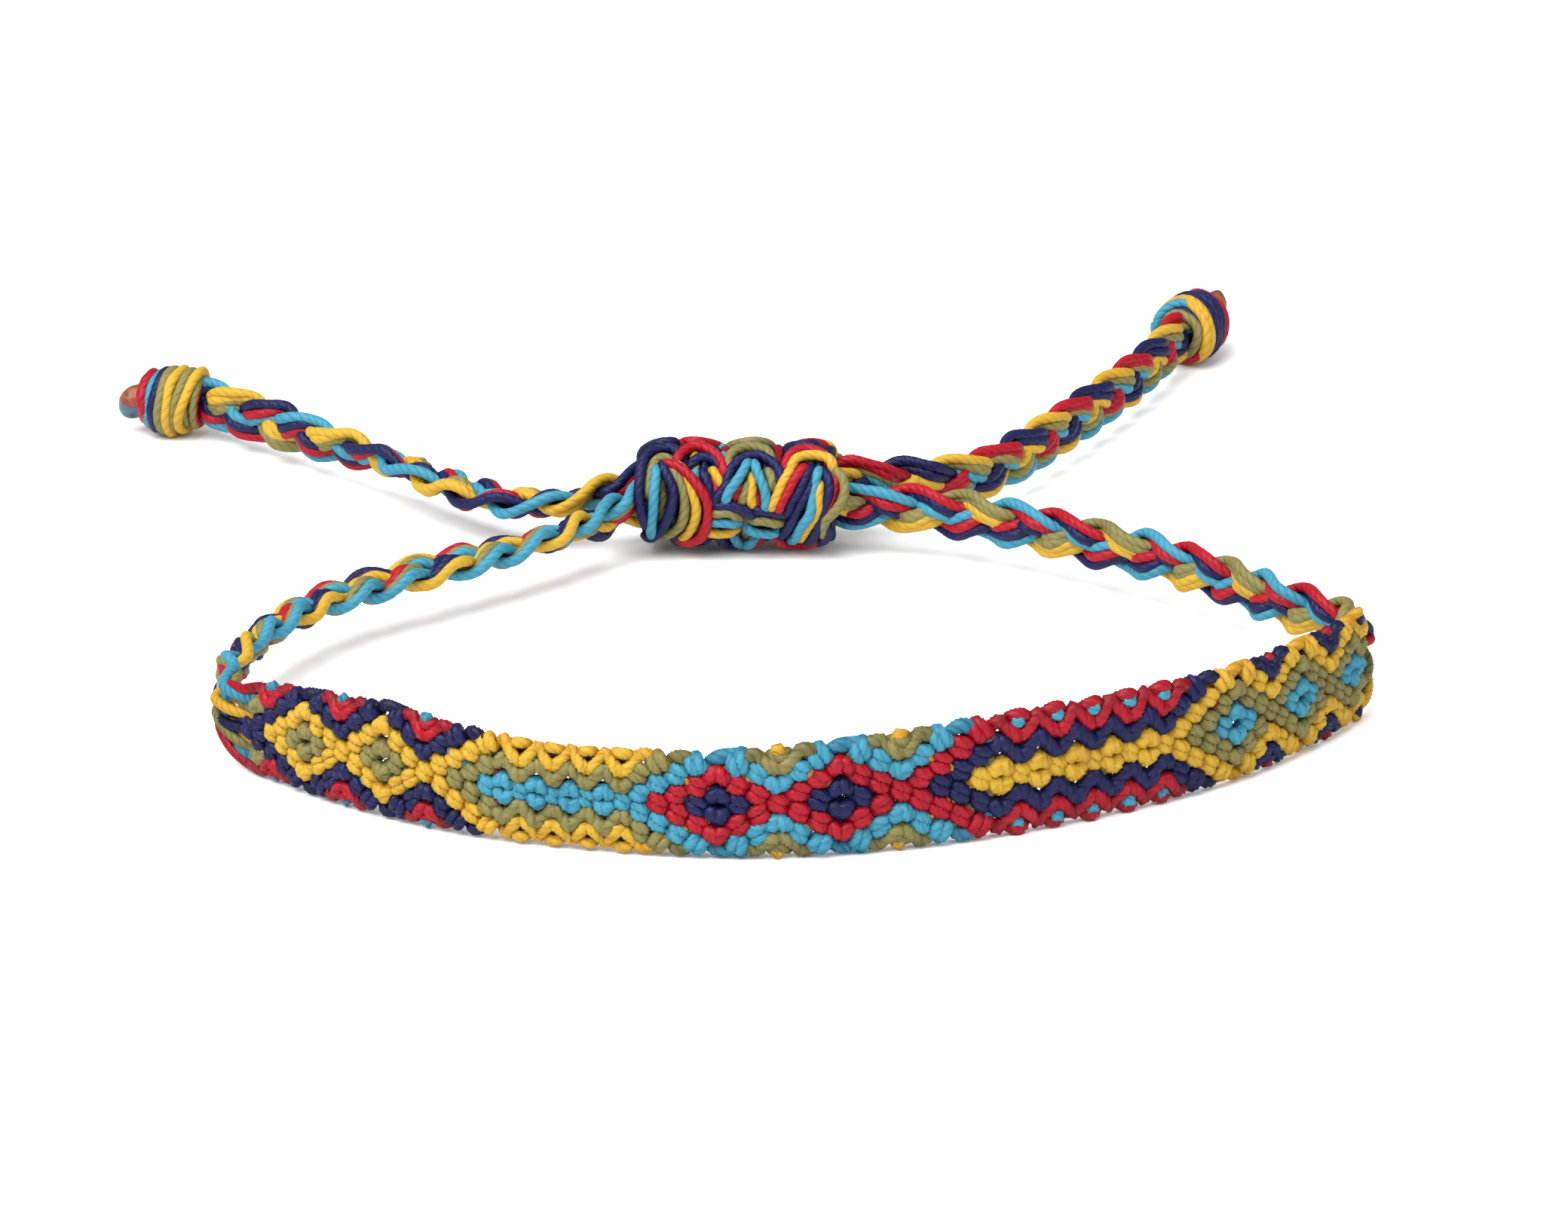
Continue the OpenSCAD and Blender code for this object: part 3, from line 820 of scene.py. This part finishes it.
def thread_tree():
    """Geometry nodes that turn chains of edges into twisted threads of several plies."""
    tree = bpy.data.node_groups.new("Twisted thread", "GeometryNodeTree")
    face = tree.interface
    face.new_socket("Geometry", in_out="INPUT", socket_type="NodeSocketGeometry")
    face.new_socket("Geometry", in_out="OUTPUT", socket_type="NodeSocketGeometry")
    for name, kind, default in (("Plies", "NodeSocketInt", 3), ("Corners per Ply", "NodeSocketInt", 4),
                                ("Ply Depth", "NodeSocketFloat", 0.04),
                                ("Lay Length", "NodeSocketFloat", 2.6 * MM)):
        face.new_socket(name, in_out="INPUT", socket_type=kind).default_value = default
    for name in COLOUR_NAMES:
        face.new_socket(name.capitalize() + " Thread", in_out="INPUT", socket_type="NodeSocketMaterial")
    new = tree.nodes.new
    inputs, outputs = new("NodeGroupInput"), new("NodeGroupOutput")

    rail = new("GeometryNodeMeshToCurve")
    link(tree, inputs.outputs["Geometry"], rail.inputs["Mesh"])
    travel = new("GeometryNodeSplineParameter").outputs["Length"]
    tilt = new("GeometryNodeSetCurveTilt")
    link(tree, rail.outputs["Curve"], tilt.inputs["Curve"])
    turns = maths(tree, "DIVIDE", travel, inputs.outputs["Lay Length"])
    link(tree, maths(tree, "MULTIPLY", turns, 2 * math.pi), tilt.inputs["Tilt"])
    path = store_value(tree, tilt.outputs["Curve"], "along", "FLOAT", travel)

    # The section is a round with a notch between each ply and the next.
    circle = new("GeometryNodeCurvePrimitiveCircle")
    circle.inputs["Radius"].default_value = 1.0
    plies, corners = inputs.outputs["Plies"], inputs.outputs["Corners per Ply"]
    link(tree, maths(tree, "MULTIPLY", plies, corners), circle.inputs["Resolution"])
    place = new("GeometryNodeInputPosition").outputs[0]
    round_section = store_value(tree, circle.outputs["Curve"], "around", "FLOAT_VECTOR", place)
    corner = maths(tree, "MODULO", new("GeometryNodeInputIndex").outputs[0], corners)
    notch = maths(tree, "MULTIPLY", maths(tree, "LESS_THAN", corner, 0.5), inputs.outputs["Ply Depth"])
    scaled = new("ShaderNodeVectorMath")
    scaled.operation = "SCALE"
    link(tree, place, scaled.inputs[0])
    link(tree, maths(tree, "SUBTRACT", 1.0, notch), scaled.inputs["Scale"])
    section = new("GeometryNodeSetPosition")
    link(tree, round_section, section.inputs["Geometry"])
    link(tree, scaled.outputs[0], section.inputs["Position"])

    skin = new("GeometryNodeCurveToMesh")
    skin.inputs["Fill Caps"].default_value = True
    link(tree, path, skin.inputs["Curve"])
    link(tree, section.outputs["Geometry"], skin.inputs["Profile Curve"])
    link(tree, named_value(tree, "thickness", "FLOAT"), skin.inputs["Scale"])
    soft = new("GeometryNodeSetShadeSmooth")
    link(tree, skin.outputs["Mesh"], soft.inputs["Geometry"])
    real = new("GeometryNodeRealizeInstances")
    link(tree, soft.outputs["Geometry"], real.inputs["Geometry"])
    last = real.outputs["Geometry"]
    tint = named_value(tree, "tint", "INT")
    for number, name in enumerate(COLOUR_NAMES):
        same = new("FunctionNodeCompare")
        same.data_type, same.operation = "INT", "EQUAL"
        link(tree, tint, same.inputs[2])
        same.inputs[3].default_value = number
        paint = new("GeometryNodeSetMaterial")
        link(tree, last, paint.inputs["Geometry"])
        link(tree, same.outputs[0], paint.inputs["Selection"])
        link(tree, inputs.outputs[name.capitalize() + " Thread"], paint.inputs["Material"])
        last = paint.outputs["Geometry"]
    link(tree, last, outputs.inputs["Geometry"])
    return tree


def set_input(modifier, tree, name, value):
    """Sets a modifier's input by its socket's identifier."""
    for item in tree.interface.items_tree:
        if item.item_type == "SOCKET" and item.in_out == "INPUT" and item.name == name:
            modifier[item.identifier] = value
            return
    raise KeyError(name)


def spin_threads(name, threads, nodes, depth, corners=4):
    """Makes one piece from threads and puts it in the place of its CAD nodes."""
    points = np.vstack([t.points for t in threads]) * MM
    edges, first = [], 0
    for t in threads:
        edges += [(first + i, first + i + 1) for i in range(len(t.points) - 1)]
        first += len(t.points)
    chain = bpy.data.meshes.new(name + "_lines")
    chain.from_pydata(points.tolist(), edges, [])
    values = zip(*[(t.radii, t.light, t.tints) for t in threads])
    radii, light, tints = (np.concatenate(rows) for rows in values)
    for kind, label, values in (("FLOAT", "thickness", radii.astype(np.float32) * MM),
                                ("FLOAT", "light", light.astype(np.float32)), ("INT", "tint", tints)):
        chain.attributes.new(label, kind, "POINT").data.foreach_set("value", values)
    piece = put_in_scene(name, chain)
    tree = bpy.data.node_groups.get("Twisted thread") or thread_tree()
    modifier = piece.modifiers.new("Twisted thread", "NODES")
    modifier.node_group = tree
    set_input(modifier, tree, "Corners per Ply", corners)
    set_input(modifier, tree, "Ply Depth", depth)
    set_input(modifier, tree, "Lay Length", bpy.context.scene.bracelet_sizes.lay)
    for colour in COLOUR_NAMES:
        set_input(modifier, tree, colour.capitalize() + " Thread", thread_material(colour))
    bpy.context.view_layer.update()
    evaluated = piece.evaluated_get(bpy.context.evaluated_depsgraph_get())
    mesh = bpy.data.meshes.new_from_object(evaluated)
    if not mesh.polygons:
        raise RuntimeError(f"{name} came out empty")
    mesh.name = name
    piece.modifiers.clear()
    piece.data = mesh
    bpy.data.meshes.remove(chain)
    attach(piece, "root")
    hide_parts(*nodes)
    return piece


# Materials

# Fibres of a thread: their turn round it in radians a millimetre, how fine they are across and along their
# way, and how fine the uneven patches of dye are
FIBRE_TURN, FIBRES_ACROSS, FIBRES_ALONG, DYE_PATCHES = -1.1, 2.4, 0.5, 260.0
# Darkening by painted shade in grooves, by fibres and by painted shade on hidden parts; fibres' relief and
# roughness
GROOVE_SHADE, FIBRE_SHADE, HIDDEN_SHADE = 0.3, 0.5, 0.85
FIBRE_RELIEF, FIBRE_ROUGHNESS = 0.35, 0.3


def fibre_group():
    """Shader group: painted shade in ply grooves and hidden parts, and the height of fibres, on a twisted
    thread.
    """
    group = bpy.data.node_groups.get("Thread fibres")
    if group:
        return group
    group = bpy.data.node_groups.new("Thread fibres", "ShaderNodeTree")
    face = group.interface
    for name, kind, default in (("Colour", "NodeSocketColor", (0.5, 0.5, 0.5, 1)),
                                ("Shade and Dye Colour", "NodeSocketColor", (0.1, 0.1, 0.1, 1)),
                                ("Plies", "NodeSocketFloat", 3.0), ("Roughness", "NodeSocketFloat", 0.45)):
        face.new_socket(name, in_out="INPUT", socket_type=kind).default_value = default
    face.new_socket("Colour", in_out="OUTPUT", socket_type="NodeSocketColor")
    face.new_socket("Roughness", in_out="OUTPUT", socket_type="NodeSocketFloat")
    face.new_socket("Height", in_out="OUTPUT", socket_type="NodeSocketFloat")
    new = group.nodes.new
    inputs, outputs = new("NodeGroupInput"), new("NodeGroupOutput")
    around, along, light = (new("ShaderNodeAttribute") for _ in range(3))
    around.attribute_name, along.attribute_name, light.attribute_name = "around", "along", "light"
    split = new("ShaderNodeSeparateXYZ")
    link(group, around.outputs["Vector"], split.inputs[0])
    angle = maths(group, "ARCTAN2", split.outputs["Y"], split.outputs["X"])
    waves = maths(group, "COSINE", maths(group, "MULTIPLY", angle, inputs.outputs["Plies"]))
    # Painted shade: the grooves between plies are darkened; the same mask also sinks them in the relief.
    groove = maths(group, "POWER", maths(group, "ADD", maths(group, "MULTIPLY", waves, 0.5), 0.5), 3.0)
    # The fibres run round the thread with its twist, and their noise is drawn out along them.
    travel = maths(group, "MULTIPLY", along.outputs["Fac"], 1 / MM)
    fibre_angle = maths(group, "ADD", angle, maths(group, "MULTIPLY", travel, FIBRE_TURN))
    where = new("ShaderNodeCombineXYZ")
    places = ((maths(group, "SINE", fibre_angle), FIBRES_ACROSS),
              (maths(group, "COSINE", fibre_angle), FIBRES_ACROSS), (travel, FIBRES_ALONG))
    for socket, (value, scale) in zip(where.inputs, places):
        link(group, maths(group, "MULTIPLY", value, scale), socket)
    fibres = noise_at(group, where.outputs[0], scale=2.6, detail=1.5)
    patches = noise_at(group, new("ShaderNodeTexCoord").outputs["Object"], scale=DYE_PATCHES, detail=0.0)
    both = maths(group, "ADD", fibres, patches)
    uneven = maths(group, "MULTIPLY", maths(group, "SUBTRACT", both, 1.0), FIBRE_SHADE)
    # The darker colour's share: painted shade in the grooves plus the uneven dye of fibres and patches.
    shade = maths(group, "ADD", maths(group, "MULTIPLY", groove, GROOVE_SHADE), uneven)
    # Painted shade: the less light a point gets, the nearer its colour goes to the darker one.
    hidden = maths(group, "MULTIPLY", maths(group, "SUBTRACT", 1.0, light.outputs["Fac"]), HIDDEN_SHADE)
    shade = maths(group, "ADD", shade, hidden, clamp=True)
    mix = new("ShaderNodeMix")
    mix.data_type = "RGBA"
    link(group, shade, mix.inputs["Factor"])
    link(group, inputs.outputs["Colour"], mix.inputs[6])
    link(group, inputs.outputs["Shade and Dye Colour"], mix.inputs[7])
    link(group, mix.outputs[2], outputs.inputs["Colour"])
    rough = maths(group, "MULTIPLY", maths(group, "SUBTRACT", fibres, 0.5), FIBRE_ROUGHNESS)
    link(group, maths(group, "ADD", inputs.outputs["Roughness"], rough), outputs.inputs["Roughness"])
    height = maths(group, "SUBTRACT", maths(group, "MULTIPLY", fibres, FIBRE_RELIEF), groove)
    link(group, height, outputs.inputs["Height"])
    return group


# Colours of the melted tips, darkened by the heat
MELTED_COLOURS = {"navy": (22, 20, 34), "red": (104, 20, 26), "turquoise": (22, 78, 102),
                  "olive": (64, 44, 36), "yellow": (134, 66, 26)}


def new_material(name):
    """A new material, its node tree and its shader."""
    material = bpy.data.materials.new(name)
    material.use_nodes = True
    return material, material.node_tree, material.node_tree.nodes["Principled BSDF"]


def thread_material(colour):
    """A twisted polyester thread of one colour."""
    name = colour.capitalize() + " thread"
    material = bpy.data.materials.get(name)
    if material:
        return material
    material, tree, shader = new_material(name)
    fibres = tree.nodes.new("ShaderNodeGroup")
    fibres.node_tree = fibre_group()
    colours = bpy.context.scene.bracelet_colours
    fibres.inputs["Colour"].default_value = (*getattr(colours, colour), 1)
    # The darker colour paints shade in grooves and on parts little light reaches, and shows uneven dye.
    fibres.inputs["Shade and Dye Colour"].default_value = (*getattr(colours, colour + "_shade_and_dye"), 1)
    link(tree, fibres.outputs["Colour"], shader.inputs["Base Color"])
    link(tree, fibres.outputs["Roughness"], shader.inputs["Roughness"])
    raise_relief(tree, fibres.outputs["Height"], strength=0.55, distance=0.08 * MM)
    shader.inputs["Specular IOR Level"].default_value = 0.2
    return material


def melted_material():
    """Threads of all five colours melted into one another."""
    material = bpy.data.materials.get("Melted threads")
    if material:
        return material
    material, tree, shader = new_material("Melted threads")
    spots = tree.nodes.new("ShaderNodeTexCoord")
    swirls = noise_at(tree, spots.outputs["Object"], scale=700.0, detail=2.0, distortion=0.6)
    ramp = tree.nodes.new("ShaderNodeValToRGB")
    stops = ((0.30, "navy"), (0.42, "turquoise"), (0.52, "turquoise"), (0.57, "red"), (0.68, "yellow"),
             (0.80, "olive"))
    while len(ramp.color_ramp.elements) < len(stops):
        ramp.color_ramp.elements.new(0.5)
    for element, (at, colour) in zip(ramp.color_ramp.elements, stops):
        element.position = at
        element.color = linear(MELTED_COLOURS[colour])
    split = tree.nodes.new("ShaderNodeSeparateXYZ")
    link(tree, spots.outputs["Object"], split.inputs[0])
    height = tree.nodes.new("ShaderNodeMapRange")
    height.inputs["From Min"].default_value = 1.2 * MM
    height.inputs["From Max"].default_value = 5.2 * MM
    link(tree, split.outputs["Z"], height.inputs["Value"])
    # Painted shade: the tip goes darker, toward navy, low down and lighter, toward yellow and olive, higher
    # up.
    painted_height_shade = maths(tree, "MULTIPLY", height.outputs[0], 0.45)
    blend = maths(tree, "ADD", painted_height_shade, maths(tree, "MULTIPLY", swirls, 0.75))
    link(tree, blend, ramp.inputs[0])
    link(tree, ramp.outputs[0], shader.inputs["Base Color"])
    raise_relief(tree, swirls, strength=0.4, distance=0.2 * MM)
    shader.inputs["Roughness"].default_value = 0.42
    return material


# Operators

class BRACELET_OT_stage(bpy.types.Operator):
    """Set up the camera, the pale floor and the soft lights"""

    bl_idname = "bracelet.stage"
    bl_label = "Stage"

    def execute(self, context):
        scene = context.scene
        view = bpy.data.cameras.new("Camera")
        view.lens = CAMERA_LENS
        view.sensor_width = 36
        view.clip_end = 10
        camera = put_in_scene("Camera", view)
        back = np.array([0, -math.cos(VIEW_TILT), math.sin(VIEW_TILT)])
        camera.location = (np.array(CAMERA_TARGET) + CAMERA_DISTANCE * back) * MM
        camera.rotation_euler = (math.radians(90) - VIEW_TILT, 0, 0)
        scene.camera = camera

        sheet = bpy.data.meshes.new("floor")
        sheet.from_pydata([(-4, -4, 0), (4, -4, 0), (4, 4, 0), (-4, 4, 0)], [], [(0, 1, 2, 3)])
        floor = put_in_scene("floor", sheet)
        # A plain diffuse shader takes the place of the usual one.
        pale, tree, usual = new_material("Pale floor")
        tree.nodes.remove(usual)
        shader = tree.nodes.new("ShaderNodeBsdfDiffuse")
        shader.inputs["Color"].default_value = (0.96, 0.96, 0.96, 1)
        link(tree, shader.outputs[0], tree.nodes["Material Output"].inputs["Surface"])
        sheet.materials.append(pale)

        world = bpy.data.worlds.new("Soft room")
        world.use_nodes = True
        sky = world.node_tree.nodes["Background"]
        sky.inputs["Color"].default_value = (1, 1, 1, 1)
        sky.inputs["Strength"].default_value = 0.62
        scene.world = world
        for name, (x, y, z), size, power in LAMPS:
            lamp = bpy.data.lights.new(name, "AREA")
            lamp.size = size
            lamp.energy = power
            light = put_in_scene(name, lamp)
            light.location = (x, y, z)
            # Each lamp is aimed at the middle of the floor.
            light.rotation_euler = (math.atan2(math.hypot(-x, -y), z), 0, math.atan2(-y, -x) - math.pi / 2)
        scene.view_settings.view_transform = "Standard"
        return {"FINISHED"}


class BRACELET_OT_band(bpy.types.Operator):
    """Knot the ten threads of the patterned band"""

    bl_idname = "bracelet.band"
    bl_label = "Knotted band"

    def execute(self, context):
        sizes = context.scene.bracelet_sizes
        threads = band_threads(sizes.band_thread / MM, sizes.tie_thread / MM, sizes.band_step / MM)
        threads = hand_tied(threads, BAND_WANDER, 1)
        spin_threads("knotted_band_threads", threads, ["knotted_band"], depth=0.01, corners=3)
        return {"FINISHED"}


class BRACELET_OT_plaits(bpy.types.Operator):
    """Plait the three strands of each tie"""

    bl_idname = "bracelet.plaits"
    bl_label = "Plaited ties"

    def execute(self, context):
        sizes = context.scene.bracelet_sizes
        thickness = sizes.tie_thread / MM
        for side, route, strands in (("left", left_route, LEFT_STRANDS),
                                     ("right", right_route, RIGHT_STRANDS)):
            for k, tints in enumerate(strands):
                s = np.arange(JOIN_GAP, route.length, sizes.tie_step / MM)
                threads = []
                for place, tint in enumerate(tints):
                    line = plait_thread(route, k, place, len(tints), s, thickness)
                    threads.append(Thread(line, thickness / 2, tint))
                threads = hand_tied(threads, PLAIT_WANDER, 2 + k)
                node = f"{side}_strand_{k + 1}"
                spin_threads(node + "_threads", threads, [node], depth=0.04)
        return {"FINISHED"}


class BRACELET_OT_sliding_knot(bpy.types.Operator):
    """Wrap the sliding knot round both plaits"""

    bl_idname = "bracelet.sliding_knot"
    bl_label = "Sliding knot"

    def execute(self, context):
        sizes = context.scene.bracelet_sizes
        threads = sliding_knot_threads(sizes.knot_thread / MM, sizes.wrap_step / MM)
        threads = hand_tied(threads, KNOT_WANDER, 5)
        spin_threads("sliding_knot_threads", threads, ["sliding_knot"], depth=0.04)
        return {"FINISHED"}


class BRACELET_OT_end_knots(bpy.types.Operator):
    """Wrap the knots that end the two tails, and melt their tips"""

    bl_idname = "bracelet.end_knots"
    bl_label = "End knots"

    def execute(self, context):
        for side, end, wraps, lift, slot in (("left", LEFT_END, LEFT_WRAPS, -0.6, "yellow_threads"),
                                             ("right", RIGHT_END, RIGHT_WRAPS, 1.2, "navy_threads")):
            node = side + "_end_knot"
            threads = end_knot_threads(end, wraps, context.scene.bracelet_sizes.wrap_step / MM)
            threads = hand_tied(threads, END_WANDER, 6)
            spin_threads(node + "_threads", threads, [node], depth=0.03)
            melted_tip(side + "_end_tip", end, lift, node)
        return {"FINISHED"}


class BRACELET_PT_build(bpy.types.Panel):
    """The bracelet's sizes and colours, and a button for each of its pieces"""

    bl_idname = "BRACELET_PT_build"
    bl_label = "Friendship Bracelet"
    bl_space_type = "VIEW_3D"
    bl_region_type = "UI"
    bl_category = "Bracelet"

    def draw(self, context):
        layout = self.layout
        layout.use_property_split = True
        for title, settings in (("Sizes", context.scene.bracelet_sizes),
                                ("Colours", context.scene.bracelet_colours)):
            box = layout.box()
            box.label(text=title)
            for name in settings.__annotations__:
                box.prop(settings, name)
        for operator in OPERATORS:
            layout.operator(operator.bl_idname)


OPERATORS = (BRACELET_OT_stage, BRACELET_OT_band, BRACELET_OT_plaits, BRACELET_OT_sliding_knot,
             BRACELET_OT_end_knots)
CLASSES = (BraceletSizes, BraceletColours, *OPERATORS, BRACELET_PT_build)


def register():
    for cls in CLASSES:
        bpy.utils.register_class(cls)
    bpy.types.Scene.bracelet_sizes = bpy.props.PointerProperty(type=BraceletSizes)
    bpy.types.Scene.bracelet_colours = bpy.props.PointerProperty(type=BraceletColours)


def unregister():
    del bpy.types.Scene.bracelet_colours
    del bpy.types.Scene.bracelet_sizes
    for cls in reversed(CLASSES):
        bpy.utils.unregister_class(cls)


def main():
    register()
    bpy.ops.bracelet.stage()
    bpy.ops.bracelet.band()
    bpy.ops.bracelet.plaits()
    bpy.ops.bracelet.sliding_knot()
    bpy.ops.bracelet.end_knots()


if __name__ == "__main__":
    main()
